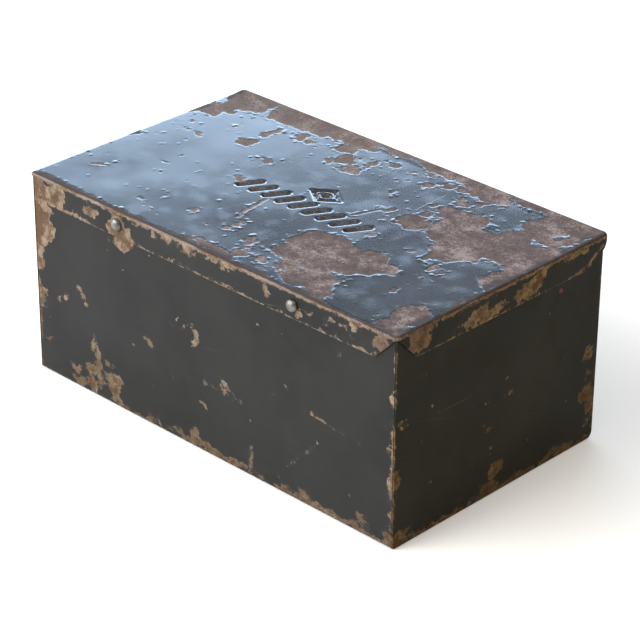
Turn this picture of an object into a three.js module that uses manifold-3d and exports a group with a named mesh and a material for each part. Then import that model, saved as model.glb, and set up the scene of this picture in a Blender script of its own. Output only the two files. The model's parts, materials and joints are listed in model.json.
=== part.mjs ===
// A sheet-steel toolbox with a hinged lid and a loose lift-out tray.
// Millimetres, +Z up, +X along the length, the front facing -Y, origin at the middle of the underside.
import * as THREE from 'three';
import { mergeVertices } from 'three/addons/utils/BufferGeometryUtils.js';
import Module from 'manifold-3d';

const wasm = await Module();
wasm.setup();

// Driving dimensions
const bodyLength = 302;
const bodyDepth = 177.5;
const boxHeight = 136.5;
const sheet = 0.9; // box and lid sheet
const traySheet = 0.8;
const contactGap = 0.3; // left between faces that touch
const overlap = 0.1; // how far two shapes run into each other where they are joined
const margin = 1; // how far a cutting shape stands out of what it cuts

// Box
const frontBottomRadius = 1.5;
const backBottomRadius = 4;
const hemDrop = 7;
const flangeWidth = 9;
const flangeTopGap = 3; // from the flange's top to the hem
const rimGap = 0.4; // from the rim to the lid's underside
const backRimDrop = 1.3; // the back rim is lower, so that the lid's hinge leaf passes over it

// Lid
const skirtGap = 0.6;
const skirtDrop = 18;
const notchInset = 16.5; // how far the corner notch cuts into a skirt's lower edge
const lidBendRadius = 2.2;
const backCornerRadius = 4.5;
const skirtTailRadius = 25; // the round end of each end skirt
const skirtTailStart = 24.3; // from the lid's back edge to where the round end begins

// The pattern stamped into the lid: a row of slanted bars and a lozenge behind it
const stampDepth = 0.45;
const stampRowLength = 90;
const stampBars = 9;
const stampRowY = -7;
const stampBarLength = 18;
const stampBarWidth = 4.4;
const stampSlant = 60; // degrees
const lozengeY = 12.5;
const lozengeHalf = new THREE.Vector2(13, 9.5);
const lozengeLine = 2.8;
const lozengeCore = 0.36; // the solid middle, as a share of the outline's size

// Hinge
const pinRadius = 0.8;
const knuckleBore = 0.88;
const knuckleRadius = 1.6;
const leafThickness = 0.6;
const leafGap = 0.2; // from a leaf to the sheet it is welded to
const leafLength = 290;
const pinOverhang = 1; // past each end of the leaves
const knuckleCount = 9;
const bodyLeafWidth = 16;
const lidLeafWidth = 20;

// Catches
const studSpacing = 146;
const studBelowLid = 9.5;
const studRadius = 4;
const studShankRadius = 1.5;
const springSize = new THREE.Vector3(24, 0.3, 9);
const springHoleGap = 0.05;

// Tray
const trayFloor = 85; // underside of the tray
const trayHeight = 38;
const trayDepth = 118;
const trayFrontGap = 0.9; // from the tray to the front hem
const trayEndGap = 1.6; // from the tray to each end hem
const trayCornerRadius = 4;
const trayHemDrop = 5;
const longDividerFromFront = 32;
const dividerBelowRim = 6;
const dividerFoot = 8;
const binCount = 4;
const ledgeWidth = 11;
const ledgeDrop = 12;
const ledgeStopHeight = 6;

// Tray loops
const wireRadius = 1.3;
const loopWidth = 36;
const loopReach = 20;
const loopCornerRadius = 5;
const loopPivotAboveFloor = 27.5;
const clipWidth = 14;
const clipLeaf = 10.5;
const clipBore = 1.4;
const clipRadius = 2.2;
const rivetSpacing = 7;
const rivetAboveClipEdge = 3.6;
const rivetHeadRadius = 2.2;
const rivetHeadHeight = 1.1;
const rivetShankRadius = 1.1;
const rivetTailThickness = 0.6;
const rivetSides = 12; // flats round a small rivet

// Derived places
const halfBody = bodyDepth / 2;
const doubled = 2 * sheet + contactGap; // thickness of a hemmed edge
const lidLength = bodyLength + 2 * (skirtGap + sheet);
const lidFront = -(halfBody + skirtGap + sheet);
const lidUnderside = boxHeight - sheet;
const rimTop = lidUnderside - rimGap;
const lipInner = knuckleRadius + leafGap;
const lipOuter = lipInner + sheet;
const hingeY = halfBody + leafGap + knuckleRadius;
const hingeZ = boxHeight - lipOuter;
const lidBack = hingeY + lipOuter;
const backRimTop = rimTop - backRimDrop;
const skirtBottom = boxHeight - skirtDrop;
const studZ = boxHeight - studBelowLid;
const knucklePitch = leafLength / knuckleCount;
const springGap = (skirtGap - springSize.y) / 2;
const studProud = lidBack + lidFront; // keeps the whole object centred front to back
const trayFront = -halfBody + doubled + trayFrontGap;
const trayMiddleY = trayFront + trayDepth / 2;
const trayHalfLength = bodyLength / 2 - doubled - trayEndGap;
const trayRim = trayFloor + trayHeight;
const trayWallInside = trayHalfLength - traySheet;
const trayHem = 2 * traySheet + contactGap;
const dividerLow = trayFloor + traySheet + contactGap;
const dividerTop = trayRim - dividerBelowRim;
const longDividerY = trayFront + longDividerFromFront;
const loopPivotZ = trayFloor + loopPivotAboveFloor;
const loopPivotX = trayWallInside - contactGap - clipRadius;
const clipRivetZ = loopPivotZ - clipLeaf + rivetAboveClipEdge;
const cutSize = 400; // larger than the object, for cutting blocks

function finish(color, roughness, metalness) {
  return new THREE.MeshStandardMaterial({ color, roughness, metalness });
}

const paintedSheet = () => finish(0x3a3c3a, 0.45, 0.2);
const lidPaint = () => finish(0x3d4550, 0.25, 0.2);
const bareSteel = () => finish(0x8d8a86, 0.35, 0.9);
const brownSteel = () => finish(0x6b5040, 0.75, 0.4);

const toolbox = new THREE.Group();

function addPiece(name, solid, material) {
  const mesh = new THREE.Mesh(toGeometry(solid), material);
  mesh.name = name;
  toolbox.add(mesh);
}

function toSolid(geometry) {
  geometry.deleteAttribute('normal');
  geometry.deleteAttribute('uv');
  const merged = mergeVertices(geometry, 1e-4);
  const vertProperties = new Float32Array(merged.attributes.position.array);
  const triVerts = new Uint32Array(merged.index.array);
  return new wasm.Manifold(new wasm.Mesh({ numProp: 3, vertProperties, triVerts }));
}

function toGeometry(solid) {
  const { vertProperties, triVerts } = solid.getMesh();
  const geometry = new THREE.BufferGeometry();
  geometry.setAttribute('position', new THREE.BufferAttribute(vertProperties, 3));
  geometry.setIndex(new THREE.BufferAttribute(triVerts, 1));
  geometry.computeVertexNormals();
  return geometry;
}

function extrude(shape, depth) {
  return new THREE.ExtrudeGeometry(shape, { depth, bevelEnabled: false, curveSegments: 5 });
}

// A shape drawn in (y, z), extruded along +X from x0 to x1
function prismX(shape, x0, x1) {
  const toYZ = new THREE.Matrix4().set(0, 0, 1, x0, 1, 0, 0, 0, 0, 1, 0, 0, 0, 0, 0, 1);
  return toSolid(extrude(shape, x1 - x0).applyMatrix4(toYZ));
}

// A shape drawn in (x, z), extruded from y0 to y1
function prismY(shape, y0, y1) {
  const toXZ = new THREE.Matrix4().set(1, 0, 0, 0, 0, 0, -1, y1, 0, 1, 0, 0, 0, 0, 0, 1);
  return toSolid(extrude(shape, y1 - y0).applyMatrix4(toXZ));
}

// A shape drawn in (x, y), extruded from z0 to z1
function prismZ(shape, z0, z1) {
  return toSolid(extrude(shape, z1 - z0).translate(0, 0, z0));
}

function block(x0, x1, y0, y1, z0, z1) {
  const geometry = new THREE.BoxGeometry(x1 - x0, y1 - y0, z1 - z0);
  geometry.translate((x0 + x1) / 2, (y0 + y1) / 2, (z0 + z1) / 2);
  return toSolid(geometry);
}

// A round bar along X or Y through a point
function bar(axis, radius, start, end, a, b, sides = 16) {
  const geometry = new THREE.CylinderGeometry(radius, radius, end - start, sides);
  if (axis === 'x') {
    geometry.rotateZ(-Math.PI / 2).translate((start + end) / 2, a, b);
  } else {
    geometry.translate(a, (start + end) / 2, b);
  }
  return toSolid(geometry);
}

function polygon(points) {
  return new THREE.Shape(points.map(([u, v]) => new THREE.Vector2(u, v)));
}

function mirrorX(solid) {
  return solid.mirror([1, 0, 0]);
}

// ---- Box ----

// The box's end outline in (y, z), set in from the outside by an inset
function endOutline(inset, top) {
  const front = -halfBody + inset;
  const back = halfBody - inset;
  const backRadius = backBottomRadius - inset;
  const frontRadius = Math.max(frontBottomRadius - inset, 0.2);
  const shape = new THREE.Shape();
  shape.moveTo(front, top);
  shape.lineTo(front, inset + frontRadius);
  shape.absarc(front + frontRadius, inset + frontRadius, frontRadius, Math.PI, 1.5 * Math.PI, false);
  shape.lineTo(back - backRadius, inset);
  shape.absarc(back - backRadius, inset + backRadius, backRadius, 1.5 * Math.PI, 2 * Math.PI, false);
  shape.lineTo(back, top);
  shape.closePath();
  return shape;
}

// A hem seen end on: a sheet folded over towards +u, its outer face at u = 0
function hemShape(top) {
  const outer = doubled / 2;
  const inner = contactGap / 2;
  const shape = new THREE.Shape();
  shape.moveTo(0, top - hemDrop);
  shape.lineTo(sheet, top - hemDrop);
  shape.lineTo(sheet, top - outer);
  shape.absarc(outer, top - outer, inner, Math.PI, 0, true);
  shape.lineTo(sheet + contactGap, top - hemDrop);
  shape.lineTo(doubled, top - hemDrop);
  shape.lineTo(doubled, top - outer);
  shape.absarc(outer, top - outer, outer, 0, Math.PI, false);
  shape.closePath();
  return shape;
}

// Front, bottom and back in one bent sheet
function bodyWrap() {
  const end = bodyLength / 2 - sheet - contactGap;
  const hemBottom = rimTop - hemDrop;
  const outer = prismX(endOutline(0, hemBottom), -end, end);
  const hollow = prismX(endOutline(sheet, rimTop + margin), -cutSize, cutSize);
  const frontHem = prismX(hemShape(rimTop), -end, end).translate([0, -halfBody, 0]);
  const backHem = prismX(hemShape(backRimTop), -end, end).mirror([0, 1, 0]).translate([0, halfBody, 0]);
  const backLow = backRimTop - hemDrop - overlap;
  const backTop = block(-end, end, halfBody - sheet, halfBody, backLow, backRimTop - doubled);
  const backWall = outer.subtract(hollow);
  return backWall.add(frontHem).add(backHem).add(backTop);
}

// The right end: a plate, a flange that lies inside the wrap, and a hemmed rim
function endPanel() {
  const outside = bodyLength / 2;
  const inside = outside - sheet;
  const hemBottom = rimTop - hemDrop;
  const flangeTop = hemBottom - flangeTopGap;
  const plate = prismX(endOutline(0, hemBottom), inside, outside);
  const wrapInset = sheet + contactGap;
  const flangeOuter = prismX(endOutline(wrapInset, flangeTop), outside - flangeWidth, inside + overlap);
  const flangeHollow = prismX(endOutline(wrapInset + sheet, flangeTop + margin), 0, inside);
  const flange = flangeOuter.subtract(flangeHollow);
  const plateTop = block(inside, outside, -halfBody, halfBody, hemBottom - overlap, rimTop - doubled);
  const hemHalf = halfBody - doubled - contactGap;
  const hem = prismY(hemShape(rimTop), -hemHalf, hemHalf).mirror([1, 0, 0]).translate([outside, 0, 0]);
  return plate.add(flange).add(plateTop).add(hem);
}

// The right ledge: an angle strip whose shelf carries the tray, with a turned-up stop behind the tray
function trayLedge() {
  const wall = bodyLength / 2 - sheet - contactGap;
  const top = trayFloor - contactGap;
  const half = halfBody - doubled - 2 * contactGap;
  const angle = polygon([
    [wall, top],
    [wall - ledgeWidth, top],
    [wall - ledgeWidth, top - sheet],
    [wall - sheet, top - sheet],
    [wall - sheet, top - ledgeDrop],
    [wall, top - ledgeDrop],
  ]);
  const stopFront = trayFront + trayDepth + 2 * contactGap;
  const stopBack = stopFront + sheet;
  const stopTop = top + ledgeStopHeight;
  const stop = block(wall - ledgeWidth, wall - 2 * sheet, stopFront, stopBack, top - overlap, stopTop);
  return prismY(angle, -half, half).add(stop);
}

// ---- Hinge ----

// A flat leaf with rolled knuckles, drawn hanging down behind the axis, which lies on X through the origin.
// The leaf's own knuckles are the even or the odd ones, and it is cut away around the others.
function hingeLeaf(width, firstKnuckle) {
  const half = leafLength / 2;
  const clear = knuckleRadius + contactGap;
  const back = -knuckleRadius + leafThickness;
  let leaf = block(-half, half, -knuckleRadius, back, -width, -clear);
  for (let i = firstKnuckle; i < knuckleCount; i += 2) {
    const x0 = -half + i * knucklePitch + contactGap / 2;
    const x1 = x0 + knucklePitch - contactGap;
    leaf = leaf.add(block(x0, x1, -knuckleRadius, back, -clear - overlap, 0));
    leaf = leaf.add(bar('x', knuckleRadius, x0, x1, 0, 0));
  }
  return leaf.subtract(bar('x', knuckleBore, -cutSize, cutSize, 0, 0));
}

function bodyHingeLeaf() {
  return hingeLeaf(bodyLeafWidth, 0).translate([0, hingeY, hingeZ]);
}

// The same leaf turned to lie flat under the lid, forward of the axis
function lidHingeLeaf() {
  return hingeLeaf(lidLeafWidth, 1).rotate([-90, 0, 0]).translate([0, hingeY, hingeZ]);
}

function hingePin() {
  const half = leafLength / 2 + pinOverhang;
  return bar('x', pinRadius, -half, half, hingeY, hingeZ);
}

// ---- Lid ----

// The lid's cross-section in (y, z), set in from its outside by an inset, down to a low edge
function lidSection(inset, low) {
  const front = lidFront + inset;
  const top = boxHeight - inset;
  const bend = lidBendRadius - inset;
  const roll = lipOuter - inset;
  const shape = new THREE.Shape();
  shape.moveTo(front, low);
  shape.lineTo(hingeY + roll, low);
  shape.lineTo(hingeY + roll, hingeZ);
  shape.absarc(hingeY, hingeZ, roll, 0, Math.PI / 2, false);
  shape.lineTo(front + bend, top);
  shape.absarc(front + bend, top - bend, bend, Math.PI / 2, Math.PI, false);
  shape.closePath();
  return shape;
}

// The lid's lengthwise section in (x, z)
function lidLongSection(inset, low) {
  const end = lidLength / 2 - inset;
  const top = boxHeight - inset;
  const bend = lidBendRadius - inset;
  const shape = new THREE.Shape();
  shape.moveTo(-end, low);
  shape.lineTo(end, low);
  shape.lineTo(end, top - bend);
  shape.absarc(end - bend, top - bend, bend, 0, Math.PI / 2, false);
  shape.lineTo(-end + bend, top);
  shape.absarc(-end + bend, top - bend, bend, Math.PI / 2, Math.PI, false);
  shape.closePath();
  return shape;
}

// The lid's plan in (x, y), with rounded back corners
function lidPlan(inset) {
  const end = lidLength / 2 - inset;
  const back = lidBack - inset;
  const radius = backCornerRadius - inset;
  const shape = new THREE.Shape();
  shape.moveTo(-end, lidFront + inset);
  shape.lineTo(end, lidFront + inset);
  shape.lineTo(end, back - radius);
  shape.absarc(end - radius, back - radius, radius, 0, Math.PI / 2, false);
  shape.lineTo(-end + radius, back);
  shape.absarc(-end + radius, back - radius, radius, Math.PI / 2, Math.PI, false);
  shape.closePath();
  return shape;
}

function lidBlank(inset, low) {
  const across = prismX(lidSection(inset, low), -cutSize, cutSize);
  const along = prismY(lidLongSection(inset, low), -cutSize, cutSize);
  return across.intersect(along).intersect(prismZ(lidPlan(inset), 0, cutSize));
}

// Cuts the right front corner's notch out of the front skirt and the end skirt
function cornerNotch() {
  const end = lidLength / 2;
  const low = skirtBottom - margin;
  const frontCut = polygon([
    [end + margin, lidUnderside],
    [end, lidUnderside],
    [end - notchInset, skirtBottom],
    [end - notchInset, low],
    [end + margin, low],
  ]);
  const sideCut = polygon([
    [lidFront - margin, lidUnderside],
    [lidFront - margin, low],
    [lidFront + notchInset, low],
    [lidFront + notchInset, skirtBottom],
    [lidFront, lidUnderside],
  ]);
  const front = prismY(frontCut, lidFront - margin, lidFront + lidBendRadius);
  const side = prismX(sideCut, end - lidBendRadius, end + margin);
  return front.add(side);
}

// Cuts the right end skirt's back end to its round shape
function skirtTail() {
  const end = lidLength / 2;
  const low = skirtBottom - margin;
  const back = lidBack + margin;
  const startY = lidBack - skirtTailStart;
  const centreZ = skirtBottom + skirtTailRadius;
  const stopAngle = Math.asin((lidUnderside - centreZ) / skirtTailRadius);
  const shape = new THREE.Shape();
  shape.moveTo(startY, low);
  shape.lineTo(back, low);
  shape.lineTo(back, lidUnderside);
  shape.lineTo(startY + skirtTailRadius * Math.cos(stopAngle), lidUnderside);
  shape.absarc(startY, centreZ, skirtTailRadius, stopAngle, -Math.PI / 2, true);
  shape.closePath();
  return prismX(shape, end - lidBendRadius, end + margin);
}

// One slanted round-ended bar of the stamped pattern
function stampBar(x, y) {
  const radius = stampBarWidth / 2;
  const half = stampBarLength / 2 - radius;
  const shape = new THREE.Shape();
  shape.moveTo(-half, -radius);
  shape.lineTo(half, -radius);
  shape.absarc(half, 0, radius, -Math.PI / 2, Math.PI / 2, false);
  shape.lineTo(-half, radius);
  shape.absarc(-half, 0, radius, Math.PI / 2, 1.5 * Math.PI, false);
  const solid = prismZ(shape, boxHeight - stampDepth, boxHeight + margin);
  return solid.rotate([0, 0, stampSlant]).translate([x, y, 0]);
}

// A lozenge for the stamped pattern, at a share of its full size
function lozenge(share) {
  const x = lozengeHalf.x * share;
  const y = lozengeHalf.y * share;
  const shape = polygon([[x, 0], [0, y], [-x, 0], [0, -y]]);
  return prismZ(shape, boxHeight - stampDepth, boxHeight + margin);
}

function stampPattern() {
  const lineShare = lozengeLine * lozengeHalf.length() / (lozengeHalf.x * lozengeHalf.y);
  const outline = lozenge(1).subtract(lozenge(1 - lineShare));
  let pattern = outline.add(lozenge(lozengeCore)).translate([0, lozengeY, 0]);
  for (let i = 0; i < stampBars; i += 1) {
    const x = (i / (stampBars - 1) - 0.5) * stampRowLength;
    pattern = pattern.add(stampBar(x, stampRowY));
  }
  return pattern;
}

function lidShell() {
  const low = skirtBottom - margin;
  const flat = lidLength / 2 - lidBendRadius;
  const studHole = studShankRadius + contactGap;
  // the back has no skirt: it stops at the rolled lip
  const backSkirt = block(-flat, flat, halfBody, lidBack + margin, low, hingeZ);
  let shell = lidBlank(0, skirtBottom).subtract(lidBlank(sheet, low)).subtract(backSkirt);
  for (const notch of [cornerNotch(), skirtTail()]) {
    shell = shell.subtract(notch).subtract(mirrorX(notch));
  }
  for (const side of [-1, 1]) {
    const x = side * studSpacing / 2;
    shell = shell.subtract(bar('y', studHole, lidFront - margin, lidFront + sheet + margin, x, studZ));
  }
  return shell.subtract(stampPattern());
}

// ---- Catches ----

// A turned piece on an axis along Y; the outline's points are (radius, y), from low y to high y
function turned(points, sides) {
  const outline = points.map(([radius, y]) => new THREE.Vector2(radius, y));
  return toSolid(new THREE.LatheGeometry(outline, sides));
}

// A dome's outline from its crown at -height to its edge at y = 0
function domeOutline(radius, height, steps) {
  const points = [];
  for (let i = 0; i <= steps; i += 1) {
    const angle = ((i / steps) * Math.PI) / 2;
    points.push([i === 0 ? 0 : radius * Math.sin(angle), -height * Math.cos(angle)]);
  }
  return points;
}

// A domed rivet through the front skirt, ending flush with the spring behind the skirt
function catchRivet(x) {
  const shankEnd = contactGap + sheet + springGap + springSize.y;
  const dome = domeOutline(studRadius, studProud - contactGap, 6);
  const rivet = turned([...dome, [studShankRadius, 0], [studShankRadius, shankEnd], [0, shankEnd]], 20);
  return rivet.translate([x, lidFront - contactGap, studZ]);
}

// A flat spring between the skirt and the box, which rubs on the box's front
function catchSpring(x) {
  const half = springSize.clone().multiplyScalar(0.5);
  const front = lidFront + sheet + springGap;
  const back = front + springSize.y;
  const strip = block(x - half.x, x + half.x, front, back, studZ - half.z, studZ + half.z);
  return strip.subtract(bar('y', studShankRadius + springHoleGap, front - margin, back + margin, x, studZ));
}

// ---- Tray ----

// The tray's plan in (x, y), about its own middle
function trayPlan(inset) {
  const halfX = trayHalfLength - inset;
  const halfY = trayDepth / 2 - inset;
  const radius = trayCornerRadius - inset;
  const shape = new THREE.Shape();
  shape.moveTo(-halfX + radius, -halfY);
  shape.absarc(halfX - radius, -halfY + radius, radius, -Math.PI / 2, 0, false);
  shape.absarc(halfX - radius, halfY - radius, radius, 0, Math.PI / 2, false);
  shape.absarc(-halfX + radius, halfY - radius, radius, Math.PI / 2, Math.PI, false);
  shape.absarc(-halfX + radius, -halfY + radius, radius, Math.PI, 1.5 * Math.PI, false);
  return shape;
}

// Cuts the hole for one of the rivets that hold a loop clip
function rivetHole(x0, x1, y) {
  return bar('x', rivetShankRadius + contactGap, x0, x1, y, clipRivetZ, rivetSides);
}

function trayPan() {
  const inside = trayFloor + traySheet;
  const outer = prismZ(trayPlan(0), trayFloor, trayRim);
  const hollow = prismZ(trayPlan(traySheet), inside, trayRim - trayHemDrop);
  const mouth = prismZ(trayPlan(trayHem), trayRim - trayHemDrop - overlap, trayRim + margin);
  let pan = outer.subtract(hollow).subtract(mouth).translate([0, trayMiddleY, 0]);
  for (const side of [-1, 1]) {
    for (const y of [-rivetSpacing / 2, rivetSpacing / 2]) {
      const x0 = side * (trayHalfLength - traySheet / 2) - margin;
      pan = pan.subtract(rivetHole(x0, x0 + 2 * margin, trayMiddleY + y));
    }
  }
  return pan;
}

// The long divider: an upright sheet whose foot lies on the tray's floor behind it
function longDivider() {
  const y = longDividerY;
  const foot = polygon([
    [y, dividerTop],
    [y, dividerLow],
    [y + dividerFoot, dividerLow],
    [y + dividerFoot, dividerLow + traySheet],
    [y + traySheet, dividerLow + traySheet],
    [y + traySheet, dividerTop],
  ]);
  const half = trayWallInside - contactGap;
  return prismX(foot, -half, half);
}

// A cross divider between the tray's front wall and the long divider, its foot towards +X
function binDivider(x) {
  const foot = polygon([
    [x, dividerLow],
    [x + dividerFoot, dividerLow],
    [x + dividerFoot, dividerLow + traySheet],
    [x + traySheet, dividerLow + traySheet],
    [x + traySheet, dividerTop],
    [x, dividerTop],
  ]);
  return prismY(foot, trayFront + traySheet + contactGap, longDividerY - contactGap);
}

// The right loop's clip: a leaf riveted to the tray's end, rolled round the loop's pivot bar
function loopClip() {
  const y0 = trayMiddleY - clipWidth / 2;
  const y1 = trayMiddleY + clipWidth / 2;
  const wallFace = loopPivotX + clipRadius;
  const leaf = block(wallFace - traySheet, wallFace, y0, y1, loopPivotZ - clipLeaf, loopPivotZ);
  const roll = bar('y', clipRadius, y0, y1, loopPivotX, loopPivotZ);
  const bore = bar('y', clipBore, y0 - margin, y1 + margin, loopPivotX, loopPivotZ);
  let clip = leaf.add(roll).subtract(bore);
  for (const y of [-rivetSpacing / 2, rivetSpacing / 2]) {
    clip = clip.subtract(rivetHole(wallFace - traySheet - margin, wallFace + margin, trayMiddleY + y));
  }
  return clip;
}

// A rivet through the right clip and the tray's end: a low dome inside, a flat tail outside
function clipRivet(y) {
  const through = traySheet + contactGap + traySheet + 2 * contactGap;
  const dome = domeOutline(rivetHeadRadius, rivetHeadHeight, 3);
  const shank = [
    [rivetShankRadius, 0],
    [rivetShankRadius, through],
    [rivetHeadRadius, through],
    [rivetHeadRadius, through + rivetTailThickness],
    [0, through + rivetTailThickness],
  ];
  const headFace = loopPivotX + clipRadius - traySheet - contactGap;
  return turned([...dome, ...shank], rivetSides).rotate([0, 0, -90]).translate([headFace, y, clipRivetZ]);
}

// The right loop: one bent wire hanging from its pivot bar, its two ends meeting inside the clip
function trayLoop() {
  const half = loopWidth / 2;
  const radius = loopCornerRadius;
  const cut = contactGap / 2;
  const point = (y, z) => new THREE.Vector3(loopPivotX, trayMiddleY + y, loopPivotZ + z);
  const line = (a, b) => new THREE.LineCurve3(a, b);
  const corner = (a, b, c) => new THREE.QuadraticBezierCurve3(a, b, c);
  const low = -loopReach;
  const path = new THREE.CurvePath();
  path.add(line(point(cut, 0), point(half - radius, 0)));
  path.add(corner(point(half - radius, 0), point(half, 0), point(half, -radius)));
  path.add(line(point(half, -radius), point(half, low + radius)));
  path.add(corner(point(half, low + radius), point(half, low), point(half - radius, low)));
  path.add(line(point(half - radius, low), point(-half + radius, low)));
  path.add(corner(point(-half + radius, low), point(-half, low), point(-half, low + radius)));
  path.add(line(point(-half, low + radius), point(-half, -radius)));
  path.add(corner(point(-half, -radius), point(-half, 0), point(-half + radius, 0)));
  path.add(line(point(-half + radius, 0), point(-cut, 0)));
  const section = new THREE.Shape().absarc(0, 0, wireRadius, 0, 2 * Math.PI, false);
  return toSolid(new THREE.ExtrudeGeometry(section, { steps: 48, extrudePath: path, curveSegments: 4 }));
}

// ---- Assembly ----

addPiece('body_wrap', bodyWrap(), paintedSheet());
addPiece('right_end_panel', endPanel(), paintedSheet());
addPiece('left_end_panel', mirrorX(endPanel()), paintedSheet());
addPiece('right_tray_ledge', trayLedge(), paintedSheet());
addPiece('left_tray_ledge', mirrorX(trayLedge()), paintedSheet());
addPiece('body_hinge_leaf', bodyHingeLeaf(), brownSteel());
addPiece('hinge_pin', hingePin(), bareSteel());

addPiece('lid_shell', lidShell(), lidPaint());
addPiece('lid_hinge_leaf', lidHingeLeaf(), brownSteel());
for (const [side, x] of [['left', -studSpacing / 2], ['right', studSpacing / 2]]) {
  addPiece(`${side}_catch_rivet`, catchRivet(x), bareSteel());
  addPiece(`${side}_catch_spring`, catchSpring(x), bareSteel());
}

addPiece('tray_pan', trayPan(), paintedSheet());
addPiece('tray_long_divider', longDivider(), paintedSheet());
for (let i = 1; i < binCount; i += 1) {
  const x = (i / binCount - 0.5) * 2 * trayWallInside;
  addPiece(`tray_bin_divider_${i}`, binDivider(x), paintedSheet());
}
addPiece('right_loop_clip', loopClip(), brownSteel());
addPiece('left_loop_clip', mirrorX(loopClip()), brownSteel());
for (const [place, y] of [['front', -rivetSpacing / 2], ['back', rivetSpacing / 2]]) {
  addPiece(`right_clip_rivet_${place}`, clipRivet(trayMiddleY + y), bareSteel());
  addPiece(`left_clip_rivet_${place}`, mirrorX(clipRivet(trayMiddleY + y)), bareSteel());
}
addPiece('right_tray_loop', trayLoop(), bareSteel());
addPiece('left_tray_loop', mirrorX(trayLoop()), bareSteel());

export default toolbox;
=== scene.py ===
"""Looks of an old painted toolbox with a divided lift-out tray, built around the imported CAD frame."""
import json
import math

import bmesh
import bpy
import numpy as np
from mathutils import Matrix, Vector, noise


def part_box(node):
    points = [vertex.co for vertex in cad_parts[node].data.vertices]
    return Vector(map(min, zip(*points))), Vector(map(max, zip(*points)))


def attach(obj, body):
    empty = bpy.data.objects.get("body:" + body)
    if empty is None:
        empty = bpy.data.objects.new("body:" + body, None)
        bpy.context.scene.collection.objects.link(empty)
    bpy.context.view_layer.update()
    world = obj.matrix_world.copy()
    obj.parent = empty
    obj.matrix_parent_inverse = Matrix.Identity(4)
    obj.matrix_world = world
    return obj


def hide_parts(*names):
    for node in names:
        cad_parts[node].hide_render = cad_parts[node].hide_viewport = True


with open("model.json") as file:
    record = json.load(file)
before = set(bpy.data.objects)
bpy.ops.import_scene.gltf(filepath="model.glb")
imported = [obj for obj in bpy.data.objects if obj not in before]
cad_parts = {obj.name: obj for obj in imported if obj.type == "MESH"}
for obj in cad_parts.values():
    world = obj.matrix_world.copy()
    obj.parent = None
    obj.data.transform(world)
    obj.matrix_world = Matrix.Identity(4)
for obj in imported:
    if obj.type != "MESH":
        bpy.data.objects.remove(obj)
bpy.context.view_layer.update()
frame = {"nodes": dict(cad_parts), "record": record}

MM = 0.001
nodes = frame["nodes"]


def box_mm(node):
    """Lowest and highest corner of a CAD node, in millimetres."""
    low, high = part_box(node)
    return np.array(low) / MM, np.array(high) / MM


# ---- Sizes, in millimetres, worked out from the frame ----

LID_LOW, LID_HIGH = box_mm("lid_shell")
BODY_LOW, BODY_HIGH = box_mm("body_wrap")
TRAY_LOW, TRAY_HIGH = box_mm("tray_pan")
PIN_LOW, PIN_HIGH = box_mm("hinge_pin")
HINGE_Y = (PIN_LOW[1] + PIN_HIGH[1]) / 2
HINGE_Z = (PIN_LOW[2] + PIN_HIGH[2]) / 2

SHEET = 0.9
NOTCH_INSET = 16.5
TAIL_RADIUS = 25.0
TAIL_START = 24.3
LID_BEND = 2.2
BACK_CORNER = 4.5
LIP_RISE = 9.0  # the roof rises to the rolled lip over this depth

# The lid's painted face lies a little inside the CAD's, so that lifted flakes stay within its box
TOP_ROOM = 0.5
SIDE_ROOM = 0.25
LID_SHEET = 0.62
LID_GRID = 0.9
FILM = 0.12
FLAKE_LIFT = 0.12
BLISTER_LIFT = 0.24
LIP_ROOM = 0.05
FLAKE_ROOM = 0.04

LID_HALF = LID_HIGH[0] - SIDE_ROOM
LID_FRONT = LID_LOW[1] + SIDE_ROOM
LID_BACK = LID_HIGH[1]
LID_TOP = LID_HIGH[2] - TOP_ROOM
LIP_RADIUS = LID_BACK - HINGE_Y
SKIRT_BOTTOM = LID_LOW[2]
UNDERSIDE = LID_HIGH[2] - SHEET

# The pattern pressed into the lid: a row of slanted bars with a lozenge behind it
STAMP_DEPTH = 1.3
BARS = 9
BAR_ROW = 90.0
BAR_Y = -7.0
BAR_LENGTH = 18.0
BAR_WIDTH = 4.4
BAR_SLANT = math.radians(60)
LOZENGE_Y = 12.5
LOZENGE_HALF = (13.0, 9.5)
LOZENGE_CORE = 0.36  # the size of the small solid lozenge inside the outline, as a share of it
LOZENGE_LINE = 2.8

# How finely things are cut
BEND_STEPS = 5
SKIRT_STEPS = 15
BODY_GRID = 2.0
SMALL_EDGE = 0.12
WELD = 0.002  # points closer than this are one
TINY = 0.001
LID_SHARP = math.radians(50)
BODY_SHARP = math.radians(35)
BEVEL_FROM = math.radians(40)

DENT_DEPTH = 0.30
ROOF_SAG = 0.22
FAR_OUTSIDE = -40.0  # stands for being nowhere near a bare place
NOT_PRESSED = -9.0  # the same for the pressed pattern
LID_FROM = SKIRT_BOTTOM - 0.6  # spots on the sides belong to the lid from this height up

# Colours of the metal where the paint is gone
# darker bare metal along the roof's edges, and painted shade in the lid's pressed pattern
EDGE_DARK_AND_SHADE = (0.020, 0.012, 0.009)
RUST_DARK = (0.035, 0.019, 0.014)
RUST_MID = (0.078, 0.045, 0.035)
RUST_PALE = (0.205, 0.160, 0.150)
# pale colour of the front bend: worn metal, and a painted highlight along the bend
RUBBED_AND_HIGHLIGHT = (0.190, 0.155, 0.140)
RUST_ORANGE = (0.125, 0.055, 0.030)
TAN_DARK = (0.040, 0.022, 0.012)
TAN_MID = (0.100, 0.066, 0.042)
TAN_PALE = (0.235, 0.178, 0.122)
TAN_RUST = (0.085, 0.040, 0.018)

# A speck of red paint on the right end
RED_DOT = (BODY_HIGH[0], 51.5, 112.5)
RED = (0.16, 0.02, 0.03)

# Roughness of rust and of rubbed metal
DRY_RUST = 0.78
SMOOTH_METAL = 0.42
# Noises that several parts of a material share: (size, detail, roughness)
PATCH = (6, 5, 0.65)
GRAIN = (1.3, 5, 0.75)
BLOT = (19, 4, 0.6)


# ---- Noise and wear fields ----

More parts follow.
